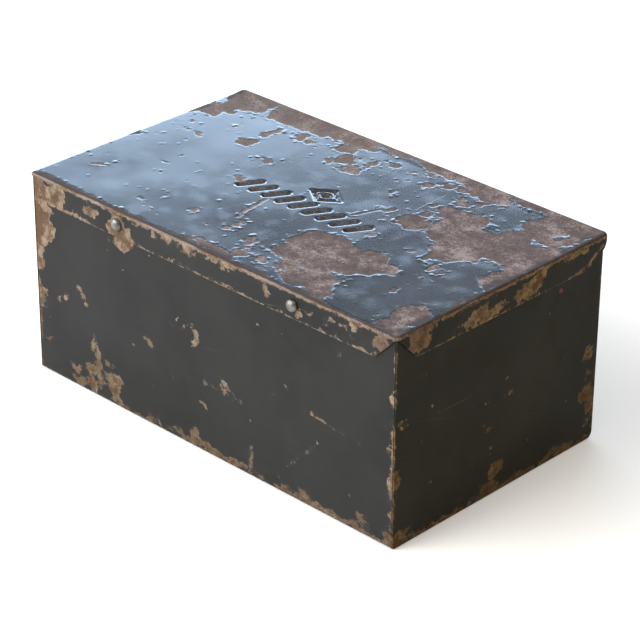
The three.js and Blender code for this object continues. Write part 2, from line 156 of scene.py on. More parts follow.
def lumps(points, size, octaves=3, seed=0.0):
    """Smooth noise, about -1 to 1, with its largest lumps about size across."""
    shift = Vector((seed * 17.3, seed * 5.9, seed * 9.1))
    flat = np.asarray(points).reshape(-1, 3) / size
    values = [noise.fractal(Vector(p) + shift, 0.8, 2.0, octaves) for p in flat]
    return np.array(values)


def smooth(low, high, value):
    """0 at low and 1 at high, with a soft start and end. low may be the larger of the two."""
    t = np.clip((value - low) / (high - low), 0.0, 1.0)
    return t * t * (3.0 - 2.0 * t)


def inside_spots(u, v, spots):
    """How far each point lies inside the nearest of some ellipses (u, v, half width, half height)."""
    best = np.full(u.shape, FAR_OUTSIDE)
    for centre_u, centre_v, half_u, half_v in spots:
        reach = np.hypot((u - centre_u) / half_u, (v - centre_v) / half_v)
        best = np.maximum(best, (1.0 - reach) * min(half_u, half_v))
    return best


# Places where the paint is gone, in mm: (u, v, half width, half height)
TOP_RUST = [
    # back left corner
    (-140, 84, 20, 12), (-138, 60, 7, 12), (-148, 52, 5, 11), (-124, 84, 10, 9), (-130, 76, 14, 9),
    # back band, left part
    (-97, 80, 14, 10), (-89, 53, 3.5, 9), (-74, 79, 16, 8), (-71, 64, 4, 4), (-61, 61, 4, 3),
    (-90, 33, 5, 5), (-42, 83, 20, 8), (-36, 70, 8, 6), (-26, 59, 7, 5), (-17, 50, 6, 5),
    (-14, 64, 3, 7), (-33, 52, 3.5, 3), (1, 71, 3, 3), (17, 73, 2, 2), (22, 63, 2, 1.5),
    (26, 79, 2.5, 2), (35, 66, 3.5, 3), (45, 72, 5, 4),
    # back edge and the big right patch
    (34, 90, 44, 5), (-62, 92, 44, 4), (60, 86, 20, 6), (64, 61, 3, 5), (73, 69, 3, 5), (88, 67, 3, 3),
    (104, 88, 22, 5), (130, 70, 21, 19), (130, 46, 22, 12), (80, 46, 18, 9), (90, 32, 21, 12),
    (122, 30, 23, 16), (86, 21, 12, 9), (74, 80, 12, 6), (58, 76, 6, 5), (106, 12, 14, 14),
    (100, -2, 4, 8), (146, 18, 7, 32), (64, 22, 10, 9), (61, 37, 3, 4),
    # centre front patch
    (44, -40, 18, 18), (72, -38, 21, 18), (50, -56, 22, 10), (95, -31, 5, 4), (63, -68, 20, 12),
    (72, -80, 20, 8),
    # front right corner and the front edge
    (140, -66, 11, 13), (143, -82, 11, 6), (19, -77, 6, 4), (34, -76, 5, 4), (3, -84, 21, 4),
    # small ones
    (109, -13, 4, 5), (115, -17, 2, 2), (87, -7, 2.2, 2), (-42, -59, 2, 2), (-11, -59, 2.5, 2),
    (-8, -51, 3.5, 2.5), (-17, -45, 1.5, 3), (11, -64, 4, 4), (18, -70, 2, 2), (111, -51, 2.5, 2.5),
    (55, -10, 3, 2), (38, 25, 3, 3), (55, 48, 2, 2), (25, 44, 2, 2), (-61, 22, 4, 1.6),
    (-121, 21, 5, 2), (-129, -53, 3, 2), (-148, -6, 3, 5), (-73, -68, 2, 1.5), (27, -60, 4, 2),
    (-52, -8, 5, 2), (-105, -22, 2, 1.5),
]
# Islands where the paint has stayed inside a bare place
TOP_PAINT = [
    (94, 66, 13, 11), (86, 60, 9, 6), (132, 53, 5, 4), (135, 69, 4, 4), (64, -20, 6, 5),
    (57, -67, 4, 2),
]
# Scratches through the paint: (from, to, half width)
TOP_LINES = [
    ((-22, -16), (-19, -42), 1.0), ((-58, -6), (-46, -9), 1.3), ((36, 22), (30, 4), 0.5),
]

FRONT_RUST = [
    # skirt
    (-147, 120, 12, 16), (-131, 126, 11, 7), (-120, 119, 20, 1.8), (-97, 128, 6, 4), (-72, 123, 11, 11),
    (-45, 134, 8, 1.6), (-30, 133, 3, 2.6), (-12, 134, 7, 1.6), (6, 132, 6, 3.2), (24, 134, 7, 1.8),
    (51, 126, 3, 2), (-55, 118.2, 3, 0.8), (-30, 118.2, 6, 0.9), (-4, 118.2, 8, 0.9),
    (22, 118.2, 3, 0.8), (42, 118.2, 10, 0.9), (95, 118.2, 7, 1.1), (123, 118.2, 10, 1.1),
    (87, 128, 2, 1), (102, 126, 3, 0.8), (115, 126, 3.5, 0.8), (122, 133, 3, 2.4), (141, 128, 7, 7),
    (75.5, 123, 3, 3.4),
    # box front
    (-150, 117, 10, 16), (-73, 115, 8, 5), (-148, 107, 14, 14), (-152, 98, 14, 16), (-150, 80, 7, 9),
    (-150, 52, 4, 7), (-124, 58, 3, 2), (-131, 53, 3, 2), (-50, 54, 3.5, 2.5), (-7, 75, 3, 4),
    (-23, 77, 3, 1), (-12, 82, 2.5, 1.2), (-2, 48, 2, 1), (7, 48, 3, 1), (15, 52, 3, 2),
    (25, 48, 4, 1.5), (-99, 35, 2, 4), (-101, 16, 8, 3.6), (-82, 17, 7, 4), (-96, 24, 3, 5),
    (-83, 8, 5, 6), (-102, 7, 6, 4), (-92, 11, 3, 3), (-86, 27, 3, 2), (-142, 22, 4, 1.5),
    (-115, 4, 6, 3), (-47, 3, 6, 4), (-119, 13, 3, 2), (-11, 5, 4, 6), (23, 3, 5, 4), (64, 4, 6, 4),
    (82, 4, 4, 4), (148, 4, 5, 6), (-4, 31, 2, 1.5), (5, 2, 40, 2.6), (100, 2, 45, 2.6),
    (65, 70, 2.4, 1.4), (128, 8, 2.5, 1.5), (105, 109, 1.5, 1), (125, 58, 1.2, 1), (149, 69, 2.6, 9),
    (150, 40, 2.6, 18), (150, 95, 1.6, 5),
]
FRONT_LINES = [
    ((38.4, 3), (38.4, 19), 1.3), ((81, 62), (115, 60), 0.3), ((68, 19), (92, 46), 0.3),
    ((52, 118), (70, 118.5), 0.5), ((-112, 70), (-107, 60), 1.3), ((-97, 40), (-95, 28), 1.1),
]
END_RUST = [
    # skirt: the paint is gone along much of it
    (-71, 129, 9, 8), (-20, 124, 19, 4.5), (20, 126, 12, 6), (29, 132, 6, 5), (60, 134, 10, 2.6),
    (-65, 133, 5, 3),
    # box end
    (81, 61, 3, 4.5), (82, 49, 2, 3), (81, 33, 5, 6), (84, 20, 3, 9), (-86, 44, 4, 7), (-87, 26, 2, 5),
    (-85, 5, 7, 5), (-6, 5, 8, 5), (-2, 14, 6, 4), (-50, 1, 30, 1.8), (40, 1, 42, 2), (60, 5, 7, 2.6),
    (-10, 62, 2, 1), (8, 64, 2, 1), (-8, 45, 3, 1), (-5, 31, 1.6, 1), (-80, 79, 2, 2),
]
END_LINES = [
    ((62, 119), (76, 122), 0.8), ((76, 122), (86, 130), 0.9),
]
# The photograph does not show the back or the underside; they are worn like the sides it shows
BACK_RUST = [
    (-140, 120, 14, 14), (-60, 118, 30, 5), (10, 124, 22, 4), (70, 116, 24, 5), (139, 108, 13, 16),
    (-20, 70, 5, 3), (44, 60, 3, 5), (98, 74, 6, 2), (-104, 48, 4, 6), (-120, 10, 20, 7),
    (-30, 6, 16, 5), (60, 8, 20, 6), (140, 14, 12, 11), (-84, 84, 3, 2), (118, 40, 2, 5),
]
BASE_RUST = [
    (-120, -60, 26, 18), (110, 50, 30, 20), (20, -20, 16, 9), (-60, 40, 12, 18), (130, -70, 16, 12),
]


def inside_lines(u, v, lines):
    """How far each point lies inside the nearest of some scratches."""
    best = np.full(u.shape, FAR_OUTSIDE)
    for start, end, half in lines:
        start, along = np.array(start), np.subtract(end, start)
        from_u, from_v = u - start[0], v - start[1]
        t = np.clip((from_u * along[0] + from_v * along[1]) / (along @ along), 0.0, 1.0)
        best = np.maximum(best, half - np.hypot(from_u - t * along[0], from_v - t * along[1]))
    return best


def ragged(points, coarse=5.0, fine=1.8):
    """The points, shifted by noise, so that what is drawn at them gets ragged outlines."""
    warp = []
    for seed in (1, 2, 3):
        warp.append(coarse * lumps(points, 16.0, 4, seed) + fine * lumps(points, 4.5, 3, seed + 5.0))
    return points + np.stack(warp, axis=-1)


def edge_wear(distance, points, width, size, seed):
    """Wear along an edge that lies so far away: positive inside a band whose width varies along it."""
    return width * (0.4 + 1.5 * lumps(points, size, 3, seed)) - distance


def roof_wear(points, moved, nearly):
    """Wear of the lid's roof: its patches, the islands of paint in them, its scratches and its edges."""
    x, y, _ = moved.T
    line_x, line_y, _ = nearly.T
    level = np.minimum(inside_spots(x, y, TOP_RUST), -inside_spots(x, y, TOP_PAINT))
    level = np.maximum(level, inside_lines(line_x, line_y, TOP_LINES))
    back = 4.0 + edge_wear(LID_BACK - points[:, 1], points, 6.0, 24.0, 31)
    left = edge_wear(LID_HALF + points[:, 0], points, 0.8, 16.0, 32)
    right = 2.0 + edge_wear(LID_HALF - points[:, 0], points, 3.0, 16.0, 32)
    front = 1.6 + edge_wear(points[:, 1] - LID_FRONT, points, 2.6, 18.0, 36)
    return np.maximum.reduce([level, back, left, right, front])


def skirt_rim_wear(points):
    """Wear along the lower edge of the lid's skirts, and along their top."""
    low = edge_wear(points[:, 2] - SKIRT_BOTTOM, points, 0.6, 11.0, 33)
    top = edge_wear(LID_TOP - LID_BEND - points[:, 2], points, 0.35, 9.0, 37)
    return np.maximum(low, top)


def box_rim_wear(points):
    """Wear along the lower edge of the box and its upright corners."""
    low = 0.2 + edge_wear(points[:, 2], points, 2.8, 8.0, 34)
    to_corner = np.maximum(BODY_HIGH[0] - np.abs(points[:, 0]), BODY_HIGH[1] - np.abs(points[:, 1]))
    corner = edge_wear(to_corner, points, 1.0, 12.0, 35) - 0.4
    return np.maximum(low, corner)


def wear(points, normals, on_lid):
    """How far inside a bare place each point lies, in mm, negative where the paint is whole."""
    moved = ragged(points)
    nearly = 0.75 * points + 0.25 * moved  # scratches are less ragged than patches
    x, y, z = moved.T
    line_x, line_y, line_z = nearly.T
    up, side, end = normals[:, 2] ** 2, normals[:, 1] ** 2, normals[:, 0] ** 2
    level = roof_wear(points, moved, nearly) if on_lid else inside_spots(x, y, BASE_RUST)
    rim = skirt_rim_wear(points) if on_lid else box_rim_wear(points)
    front_spots, back_spots, end_spots = [
        [spot for spot in spots if (spot[1] > LID_FROM) == on_lid]
        for spots in (FRONT_RUST, BACK_RUST, END_RUST)
    ]
    front = np.maximum(inside_spots(x, z, front_spots), inside_lines(line_x, line_z, FRONT_LINES))
    faces = np.where(normals[:, 1] < 0.0, front, inside_spots(x, z, back_spots))
    flip = np.where(normals[:, 0] > 0.0, 1.0, -1.0)
    ends = np.maximum(inside_spots(y * flip, z, end_spots), inside_lines(line_y * flip, line_z, END_LINES))
    found = up * level + side * np.maximum(faces, rim) + end * np.maximum(ends, rim)
    if on_lid:
        # the bend round the roof is bare along much of its length
        bend = (normals[:, 2] > 0.35) & (normals[:, 2] < 0.98)
        found = np.where(bend, np.maximum(found, 0.9 + 2.0 * lumps(points, 10.0, 3, 22)), found)
    specks = 8.0 * lumps(points, 6.0, 3, 21) - 7.2
    return np.maximum(found, specks)


def stamp(x, y):
    """1 inside the pressed pattern, 0 outside it."""
    deep = np.zeros(x.shape)
    reach = (BAR_LENGTH - BAR_WIDTH) / 2
    for i in range(BARS):
        from_x = x - (i / (BARS - 1) - 0.5) * BAR_ROW
        from_y = y - BAR_Y
        along = from_x * math.cos(BAR_SLANT) + from_y * math.sin(BAR_SLANT)
        across = from_y * math.cos(BAR_SLANT) - from_x * math.sin(BAR_SLANT)
        distance = np.hypot(np.maximum(np.abs(along) - reach, 0.0), across) - BAR_WIDTH / 2
        deep = np.maximum(deep, 1.0 - smooth(-1.0, 0.8, distance))
    half_x, half_y = LOZENGE_HALF
    scale = half_x * half_y / math.hypot(half_x, half_y)
    size = np.abs(x) / half_x + np.abs(y - LOZENGE_Y) / half_y
    outline = np.abs((size - 1.0) * scale + LOZENGE_LINE / 2) - LOZENGE_LINE / 2
    core = (size - LOZENGE_CORE) * scale
    return np.maximum(deep, 1.0 - smooth(-1.0, 0.8, np.minimum(outline, core)))


# ---- The lid: one folded sheet ----

def half_width(y):
    """The lid's half width at y; its back corners are rounded."""
    into = np.clip(y - (LID_BACK - BACK_CORNER), 0.0, BACK_CORNER)
    return LID_HALF - BACK_CORNER + np.sqrt(BACK_CORNER**2 - into**2)


def notch_line(distance):
    """Height of the corner notch's edge, at a distance from the corner."""
    return UNDERSIDE - distance / NOTCH_INSET * (UNDERSIDE - SKIRT_BOTTOM)


def steps(start, end, step):
    """Numbers from start to end, about step apart."""
    return np.linspace(start, end, max(2, round(abs(end - start) / step) + 1))


def lid_rows():
    """(y, z, half width) from the front skirt's lower edge over the roof to the rolled lip's end."""
    rows = []
    bend_z = LID_TOP - LID_BEND
    flat = LID_HALF - LID_BEND
    for z in steps(SKIRT_BOTTOM, bend_z, LID_GRID)[:-1]:
        cut = NOTCH_INSET * (UNDERSIDE - z) / (UNDERSIDE - SKIRT_BOTTOM)
        rows.append((LID_FRONT, z, min(flat, LID_HALF - cut)))
    for angle in np.linspace(0.0, math.pi / 2, BEND_STEPS + 1):
        rows.append((LID_FRONT + LID_BEND * (1 - math.cos(angle)), bend_z + LID_BEND * math.sin(angle), flat))
    lip = LIP_RADIUS - LIP_ROOM
    for y in steps(LID_FRONT + LID_BEND, HINGE_Y, LID_GRID)[1:]:
        rise = (HINGE_Z + lip - LID_TOP) * smooth(HINGE_Y - LIP_RISE, HINGE_Y, y)
        rows.append((y, LID_TOP + rise, half_width(y) - LID_BEND))
    for angle in np.linspace(math.pi / 2, 0.0, BEND_STEPS + 1)[1:]:
        y = HINGE_Y + lip * math.cos(angle)
        rows.append((y, HINGE_Z + lip * math.sin(angle), half_width(y) - LID_BEND))
    return rows


def skirt_edge(y):
    """Height of the end skirt's lower edge at y, with the notch in front and the round tail behind."""
    start = LID_BACK - TAIL_START
    into = min(max(y - start, 0.0), TAIL_RADIUS - 0.5)
    tail = SKIRT_BOTTOM + TAIL_RADIUS - math.sqrt(TAIL_RADIUS**2 - into**2)
    return min(max(SKIRT_BOTTOM, tail, notch_line(y - LID_LOW[1])), UNDERSIDE)


def end_skirt_grid(rows, side):
    """One end skirt with the bend above it: a line of points, going down, at each of the roof's rows."""
    lines = []
    for y, z, half in rows:
        drop = max(z - skirt_edge(y), SHEET)
        turn = math.acos(1.0 - min(drop, LID_BEND) / LID_BEND)
        angles = np.linspace(0.0, turn, BEND_STEPS + 1)
        bend = [(half + LID_BEND * math.sin(a), LID_BEND * (1 - math.cos(a))) for a in angles]
        x_below, drop_below = bend[-1]
        plain = [(x_below, d) for d in np.linspace(drop_below, drop, SKIRT_STEPS + 1)[1:]]
        lines.append([(side * x, y, z - d) for x, d in bend + plain])
    return np.array(lines)


def front_corner_grid(side):
    """An eighth of a ball, where the roof, the front skirt and an end skirt meet."""
    centre = np.array((side * (LID_HALF - LID_BEND), LID_FRONT + LID_BEND, LID_TOP - LID_BEND))
    angles = np.linspace(0.0, math.pi / 2, BEND_STEPS + 1)
    lines = []
    for down in angles:
        out, up = math.sin(down), math.cos(down)
        ring = [np.array((side * out * math.cos(a), -out * math.sin(a), up)) for a in angles]
        lines.append([centre + LID_BEND * direction for direction in ring])
    return np.array(lines)


def lid_grids():
    """Grids of points for the roof with front skirt and lip, the end skirts and the front corners.

    Each comes with whether its faces have to be turned over to face outwards.
    """
    rows = lid_rows()
    columns = np.linspace(-1.0, 1.0, round(2 * LID_HALF / LID_GRID) + 1)
    roof = np.array([[(half * s, y, z) for s in columns] for y, z, half in rows])
    grids = [(roof, False)]
    behind_bend = sum(1 for row in rows if row[0] > LID_FRONT + LID_BEND + 1e-6)
    roof_rows = rows[len(rows) - behind_bend - 1:]
    for side in (-1, 1):
        grids.append((end_skirt_grid(roof_rows, side), side < 0))
        grids.append((front_corner_grid(side), side < 0))
    return grids


def surface_of(grids):
    """The grids joined into one bmesh, with their shared borders merged, in millimetres."""
    work = bmesh.new()
    for grid, flipped in grids:
        made = [[work.verts.new(point) for point in row] for row in grid]
        for i in range(len(made) - 1):
            for j in range(len(made[0]) - 1):
                ring = [made[i][j], made[i][j + 1], made[i + 1][j + 1], made[i + 1][j]]
                work.faces.new(ring[::-1] if flipped else ring)
    bmesh.ops.remove_doubles(work, verts=work.verts, dist=WELD)
    bmesh.ops.dissolve_degenerate(work, dist=TINY, edges=work.edges)
    work.normal_update()
    work.verts.index_update()
    return work


def set_attribute(mesh, name, values):
    """Store one value for each of the mesh's points, for its materials to read."""
    attribute = mesh.attributes.new(name, "FLOAT", "POINT")
    attribute.data.foreach_set("value", np.asarray(values, np.float32))


def add_piece(name, mesh, body, slot, *replaced):
    """Put a mesh in the scene, riding a body and standing for some CAD nodes."""
    piece = bpy.data.objects.new(name, mesh)
    bpy.context.scene.collection.objects.link(piece)
    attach(piece, body)
    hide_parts(*replaced)
    return piece


def relief(points, normals, depth):
    """Height of the painted face above the lid's plain one: the paint film, its lifted edges and blisters."""
    whole = 1.0 - smooth(-0.5, 0.5, depth)
    curl = np.exp(-(((depth + 0.9) / 0.65) ** 2)) * smooth(-0.25, 0.55, lumps(points, 7.0, 2, 41))
    from_rim = np.minimum(LID_HALF - np.abs(points[:, 0]), points[:, 1] - LID_FRONT)
    curl *= smooth(5.0, 14.0, from_rim) * (0.3 + 0.7 * smooth(-60.0, 30.0, points[:, 0] - 0.6 * points[:, 1]))
    near = 0.32 * smooth(-5.0, -1.0, depth)
    blister = smooth(0.98, 1.1, lumps(points, 6.0, 2, 42) + near)
    blister = np.maximum(blister, 0.7 * smooth(0.80, 0.95, lumps(points, 2.7, 2, 43) + near))
    pits = smooth(0.5, 2.0, depth) * (0.10 * lumps(points, 3.5, 3, 44) - 0.04)
    height = whole * (FILM + FLAKE_LIFT * curl + BLISTER_LIFT * blister * (1.0 - 0.5 * curl)) + pits
    # the relief dies out towards the hinge, where the lip has no room for it
    room = 1.0 - smooth(HINGE_Y - 7.0, HINGE_Y - 2.0, points[:, 1])
    room *= np.where(normals[:, 2] > 0.5, 1.0, 0.35)
    return height * room


def roof_sag(points, on_roof):
    """How far the roof stands above or below a flat one, dying out towards its edges."""
    sag = ROOF_SAG * (lumps(points, 90.0, 2, 61) - 0.6) * on_roof
    sag *= smooth(0.0, 50.0, LID_HALF - np.abs(points[:, 0])) * smooth(0.0, 30.0, HINGE_Y - points[:, 1])
    return sag * smooth(0.0, 30.0, points[:, 1] - LID_FRONT)


def tan_on_lid(points, normals):
    """How tan bare metal is. It is browner on the lid's left half and tan on its skirts."""
    brown = 0.3 * smooth(40.0, -40.0, points[:, 0])
    # the skirts are redder here and there, and all round the front right corner
    from_corner = np.hypot(LID_HALF - points[:, 0], points[:, 1] - LID_FRONT)
    redder = np.maximum(smooth(34.0, 10.0, from_corner), 0.8 * smooth(0.0, 0.7, lumps(points, 9.0, 3, 74)))
    on_skirt = (1.0 - smooth(0.2, 0.7, normals[:, 2])) * (1.0 - 0.5 * redder)
    return np.maximum(brown, on_skirt)


def dark_edges_and_pattern_shade(points, normals, pressed):
    """Darker bare metal along the roof's edges, and painted shade in the pressed pattern's recesses."""
    to_edge = np.minimum(LID_HALF - np.abs(points[:, 0]), np.minimum(points[:, 1] - LID_FRONT, 60.0))
    dark_edges_and_shade = smooth(8.0, 3.5, to_edge + 5.0 * lumps(points, 14.0, 3, 73)) * smooth(0.6, 0.8, normals[:, 2])
    # the pressed pattern's recesses get painted shade
    return np.maximum(dark_edges_and_shade, 0.85 * pressed)


def rubbed_and_highlight_on_lid(points, normals):
    """The front bend: bare metal worn bright by hands, with a painted highlight along it, both less towards
    the right.
    """
    up = normals[:, 2]
    bend = smooth(0.2, 0.4, up) * smooth(0.8, 0.65, up) * smooth(0.1, 0.5, -normals[:, 1])
    return bend * (1.0 - 0.7 * smooth(60.0, 120.0, points[:, 0]))


def closed_sheet(name, work, outer, inner):
    """A mesh of work's faces at the outer points, the same turned over at the inner ones, and the edge."""
    count = len(outer)
    faces = [[v.index for v in face.verts] for face in work.faces]
    under = [[i + count for i in reversed(face)] for face in faces]
    border = []
    for edge in work.edges:
        if edge.is_boundary:
            loop = edge.link_loops[0]
            a, b = loop.vert.index, loop.link_loop_next.vert.index
            border.append([b, a, a + count, b + count])
    mesh = bpy.data.meshes.new(name)
    mesh.from_pydata(np.concatenate([outer, inner]) * MM, [], faces + under + border)
    return mesh


def lid_mesh():
    """The lid's sheet: the outer face with its relief, the plain inner one, and the edge between them."""
    work = surface_of(lid_grids())
    points = np.array([v.co for v in work.verts])
    normals = np.array([v.normal for v in work.verts])
    on_roof = normals[:, 2] > 0.9
    pressed = stamp(points[:, 0], points[:, 1]) * on_roof
    in_stamp = 2.0 * pressed - 1.7 + 2.6 * lumps(points, 6.0, 3, 51)
    depth = np.maximum(wear(points, normals, True), np.where(pressed > 0.02, in_stamp, NOT_PRESSED))
    plain = roof_sag(points, on_roof) - STAMP_DEPTH * pressed
    height = np.minimum(plain + relief(points, normals, depth), TOP_ROOM - FLAKE_ROOM)
    outer = points + normals * height[:, None]
    inner = points + normals * (plain - LID_SHEET)[:, None]
    mesh = closed_sheet("lid_sheet", work, outer, inner)
    work.free()

    inside = np.maximum(3.0 * lumps(points, 15.0, 3, 71) - 2.2, 1.2 - np.abs(points[:, 1] - LID_FRONT) / 3)
    nothing = np.zeros(len(points))
    set_attribute(mesh, "rust", np.concatenate([depth, inside]))
    set_attribute(mesh, "tan", np.concatenate([tan_on_lid(points, normals), nothing + 0.5]))
    set_attribute(mesh, "rubbed_and_highlight", np.concatenate([rubbed_and_highlight_on_lid(points, normals), nothing]))
    set_attribute(mesh, "dark_edges_and_shade", np.concatenate([dark_edges_and_pattern_shade(points, normals, pressed), nothing]))
    # the roof has its own gloss; the skirts and the underside are like the box
    # the end skirts take the ends' paint, darker and warmer partly from dirt and partly as painted shade
    for material in (lid_paint, box_paint, end_paint_dirt_and_shade):
        mesh.materials.append(material)
    for face in mesh.polygons:
        face.material_index = 0 if face.normal.z > 0.75 else 2 if abs(face.normal.x) > 0.7 else 1
    mesh.shade_smooth()
    mesh.set_sharp_from_angle(angle=LID_SHARP)
    return mesh


# ---- The box's sheets: the CAD's own shapes, cut finer, dented and worn ----

def dents(points):
    """How the box's big faces are pushed inwards here and there, as a shift of each point."""
    x, y, z = points.T
    middle = smooth(0.0, 26.0, z - BODY_LOW[2]) * smooth(0.0, 34.0, BODY_HIGH[2] - z)
    along = smooth(0.0, 26.0, BODY_HIGH[0] - np.abs(x))
    across = smooth(0.0, 26.0, BODY_HIGH[1] - np.abs(y))
    flat = np.stack([x, y * 0.0, z], axis=-1)
    end = np.stack([x * 0.0, y, z], axis=-1)
    front = DENT_DEPTH * (lumps(flat, 70.0, 2, 81) - 0.9) * along * middle * (np.abs(y) > BODY_HIGH[1] - 3.0)
    sides = DENT_DEPTH * (lumps(end, 60.0, 2, 82) - 0.9) * across * middle * (np.abs(x) > BODY_HIGH[0] - 3.0)
    return np.stack([sides * np.sign(x), front * np.sign(y), z * 0.0], axis=-1)


def finer(node, step):
    """A copy of a CAD node's mesh, cut by planes every step mm, in millimetres."""
    work = bmesh.new()
    work.from_mesh(nodes[node].data)
    bmesh.ops.scale(work, vec=(1 / MM,) * 3, verts=work.verts)
    bmesh.ops.remove_doubles(work, verts=work.verts, dist=WELD)
    low, high = box_mm(node)
    for axis in range(3):
        direction = Vector([float(axis == i) for i in range(3)])
        for place in np.arange(low[axis] + step / 2, high[axis], step):
            everything = work.verts[:] + work.edges[:] + work.faces[:]
            cut_at = {"plane_co": direction * place, "plane_no": direction, "dist": TINY}
            bmesh.ops.bisect_plane(work, geom=everything, **cut_at)
    work.normal_update()
    work.verts.index_update()
    return work


def body_piece(name, node, material):
    """A sheet of the box with its dents and wear, standing for a CAD node."""
    work = finer(node, BODY_GRID)
    points = np.array([v.co for v in work.verts])
    normals = np.array([v.normal for v in work.verts])
    outward = np.sum(normals * (points - (0.0, 0.0, (BODY_LOW[2] + BODY_HIGH[2]) / 2)), axis=1) > 0.0
    depth = 3.0 * lumps(points, 16.0, 3, 72) - 2.4
    depth[outward] = wear(points[outward], normals[outward], False)
    moved = points + dents(points)
    for vert, place in zip(work.verts, moved):
        vert.co = Vector(place) * MM
    mesh = bpy.data.meshes.new(name)
    work.to_mesh(mesh)
    work.free()
    set_attribute(mesh, "rust", depth)
    set_attribute(mesh, "tan", np.ones(len(points)))
    mesh.shade_smooth()
    mesh.set_sharp_from_angle(angle=BODY_SHARP)
    mesh.materials.append(material)
    return add_piece(name, mesh, "box", "box_paint", node)


# ---- Materials ----

class Shader:
    """Adds nodes to one material and links them. Lengths inside it are in millimetres."""

    def __init__(self, name):
        self.material = bpy.data.materials.new(name)
        self.material.use_nodes = True
        self.tree = self.material.node_tree
        self.tree.nodes.clear()
        coordinates = self.add("TexCoord").outputs["Object"]
        self.where = self.add("VectorMath", {0: coordinates, "Scale": 1 / MM}, operation="SCALE").outputs[0]

    def add(self, kind, inputs=None, **settings):
        """A new node, with its settings and with a socket or a value for each of the given inputs."""
        made = self.tree.nodes.new("ShaderNode" + kind)
        for key, value in settings.items():
            setattr(made, key, value)
        for key, value in (inputs or {}).items():
            if isinstance(value, bpy.types.NodeSocket):
                self.tree.links.new(value, made.inputs[key])
            else:
                made.inputs[key].default_value = value
        return made

    def math(self, operation, a, b=0.0):
        return self.add("Math", {0: a, 1: b}, operation=operation).outputs[0]

    def sum(self, *terms):
        """The sum of (socket, factor) pairs."""
        total = 0.0
        for socket, factor in terms:
            total = self.add("Math", {0: socket, 1: factor, 2: total}, operation="MULTIPLY_ADD").outputs[0]
        return total

    def height(self):
        """How high a point is above the ground, at rest."""
        return self.add("SeparateXYZ", {0: self.where}).outputs["Z"]

    def attribute(self, name):
        """A value that was stored with the mesh's points."""
        return self.add("Attribute", attribute_name=name).outputs["Fac"]

    def noise(self, size, detail=3.0, roughness=0.5, stretch=(1, 1, 1), turn=(0, 0, 0)):
        """Noise with lumps about size across, as a value around 0, from about -1 to 1."""
        place = self.where
        if stretch != (1, 1, 1) or turn != (0, 0, 0):
            turned = self.add("Mapping", {"Vector": place, "Rotation": turn}).outputs[0]
            place = self.add("VectorMath", {0: turned, 1: stretch}, operation="DIVIDE").outputs[0]
        inputs = {"Vector": place, "Scale": 1 / size, "Detail": detail, "Roughness": roughness}
        made = self.add("TexNoise", inputs)
        return self.sum((made.outputs[0], 4.0), (1.0, -2.0))

    def step(self, low, high, value, least=0.0, most=1.0):
        """least at low and most at high, with a soft start and end. low may be the larger of the two."""
        inputs = {0: value, 1: low, 2: high, 3: least, 4: most}
        return self.add("MapRange", inputs, interpolation_type="SMOOTHSTEP").outputs[0]

    def mix(self, amount, a, b):
        """Colour a where amount is 0 and b where it is 1."""
        sockets = {0: amount}
        for index, colour in ((6, a), (7, b)):
            sockets[index] = colour if isinstance(colour, bpy.types.NodeSocket) else (*colour, 1.0)
        return self.add("Mix", sockets, data_type="RGBA").outputs[2]

    def blend(self, amount, a, b):
        """Number a where amount is 0 and b where it is 1."""
        return self.add("Mix", {0: amount, 2: a, 3: b}, data_type="FLOAT").outputs[0]

    def finish(self, colour, roughness, height, **constants):
        """The finished material. height is in millimetres and makes the fine bumps."""
        bump = self.add("Bump", {"Height": height, "Distance": MM, "Strength": 1.0})
        inputs = {"Base Color": colour, "Roughness": roughness, "Normal": bump.outputs[0]}
        shader = self.add("BsdfPrincipled", inputs)
        for name, value in constants.items():
            socket = shader.inputs[name.replace("_", " ")]
            if isinstance(value, bpy.types.NodeSocket):
                self.tree.links.new(value, socket)
            else:
                socket.default_value = value
        output = self.add("OutputMaterial")
        self.tree.links.new(shader.outputs[0], output.inputs[0])
        return self.material


def enamel(s, fresh, faded, edge, tans):
    """The paint's colour, and where it is smudged and scratched."""
    tan_dark, tan_mid = tans[:2]
    cloud = s.step(-0.6, 0.7, s.noise(70, 4, 0.6))
    smudge = s.step(-0.2, 0.9, s.noise(13, 2, 0.4))
    paint = s.mix(cloud, fresh, faded)
    paint = s.mix(s.math("MULTIPLY", smudge, 0.2), paint, [c * 1.7 + 0.006 for c in faded])

    # fine scratches, as noise stretched along two directions
    steep = s.noise(1.6, 2, 0.4, (70, 70, 1), (0.3, 0.2, 0.5))
    level = s.noise(1.4, 2, 0.4, (1, 60, 60), (0.2, 0.6, 0.1))
    scratch = s.math("MAXIMUM", s.step(1.02, 1.25, steep), s.step(1.04, 1.25, level))
    paint = s.mix(s.math("MULTIPLY", scratch, 0.35), paint, [c * 3 + 0.02 for c in faded])

    # the rim round a bare place is paler, as a painted highlight on the paint's lifted edge
    rim = s.step(-1.3, -0.1, edge)
    paint = s.mix(s.math("MULTIPLY", rim, 0.5), paint, [c * 1.5 + 0.012 for c in faded])

    pinpoints = s.step(1.15, 1.35, s.noise(2.4, 2, 0.5))
    paint = s.mix(s.math("MULTIPLY", pinpoints, 0.5), paint, tan_mid)

    # brown stains just above the lower edge
    low = s.step(20, 6, s.sum((s.height(), 1.0), (s.noise(25, 2), 7.0)))
    stain = s.math("MULTIPLY", low, s.step(-0.1, 0.9, s.noise(*PATCH)))
    paint = s.mix(s.math("MULTIPLY", stain, 0.35), paint, tan_dark)
    return paint, smudge, scratch


